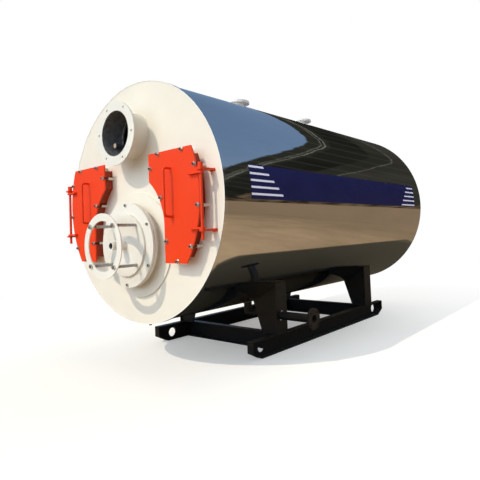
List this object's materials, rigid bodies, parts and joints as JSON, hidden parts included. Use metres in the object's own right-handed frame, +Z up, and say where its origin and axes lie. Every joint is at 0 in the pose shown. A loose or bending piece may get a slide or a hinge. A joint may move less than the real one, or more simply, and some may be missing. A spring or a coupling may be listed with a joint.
{
  "type": "horizontal fire-tube hot-water boiler on a skid",
  "caption": "Round horizontal boiler body in bright steel sheet with a cream front plate, hinged orange side doors, flanged burner port and flue stub, on a black channel skid.",
  "frame": {"origin": "centre of the part's box at the ground, under the runners", "axes": "+Z up, +Y along the body from the front plate to the rear, +X towards the drain flange's side"},
  "size_m": [1.9998, 4.238, 2.471],
  "materials": {
    "bright_steel": "bright rolled sheet",
    "cream_paint": "semi-gloss",
    "orange_paint": "semi-gloss",
    "black_paint": "gloss",
    "raw_steel": "mill scale",
    "zinc_steel": "zinc plated",
    "gasket": "matt sheet",
    "banner_film": "printed film"
  },
  "bodies": {
    "boiler": {"jacket": "bright_steel", "pressure_shell": "raw_steel", "front_plate": "cream_paint", "front_trim": "bright_steel", "rear_plate": "cream_paint", "tube_plate": "raw_steel", "smoke_tubes": "raw_steel", "furnace_tube": "raw_steel", "rear_neck": "cream_paint", "rear_cover": "cream_paint", "flue_neck": "cream_paint", "flue_flange": "cream_paint", "burner_pad": "cream_paint", "burner_neck": "cream_paint", "burner_gasket": "gasket", "burner_cover": "cream_paint", "burner_bolts": "zinc_steel", "burner_disc": "cream_paint", "sight_tube": "cream_paint", "adapter_ring": "cream_paint", "ring_rods": "zinc_steel", "left_frame": "orange_paint", "right_frame": "orange_paint", "clamp_pillars": "cream_paint", "hinge_rods": "orange_paint", "hinge_brackets": "orange_paint", "front_nozzle": "cream_paint", "rear_nozzle": "cream_paint", "front_saddle": "black_paint", "rear_saddle": "black_paint", "left_runner": "black_paint", "right_runner": "black_paint", "front_beam": "black_paint", "rear_beam": "black_paint", "drain_pipe": "black_paint", "condensate_nipple": "black_paint", "banner": "banner_film"},
    "left_door": {"left_cover": "orange_paint", "left_handle": "orange_paint", "left_lugs": "orange_paint", "left_bolts": "zinc_steel"},
    "right_door": {"right_cover": "orange_paint", "right_handle": "orange_paint", "right_lugs": "orange_paint", "right_bolts": "zinc_steel"}
  },
  "joints": [
    {"name": "right_door_hinge", "type": "hinge", "parent": "boiler", "child": "right_door", "pos_m": [0.883, -1.873, 1.318], "axis": [0, 0, 1], "range_deg": [0, 110]},
    {"name": "left_door_hinge", "type": "hinge", "parent": "boiler", "child": "left_door", "pos_m": [-0.883, -1.873, 1.318], "axis": [0, 0, -1], "range_deg": [0, 110]}
  ]
}
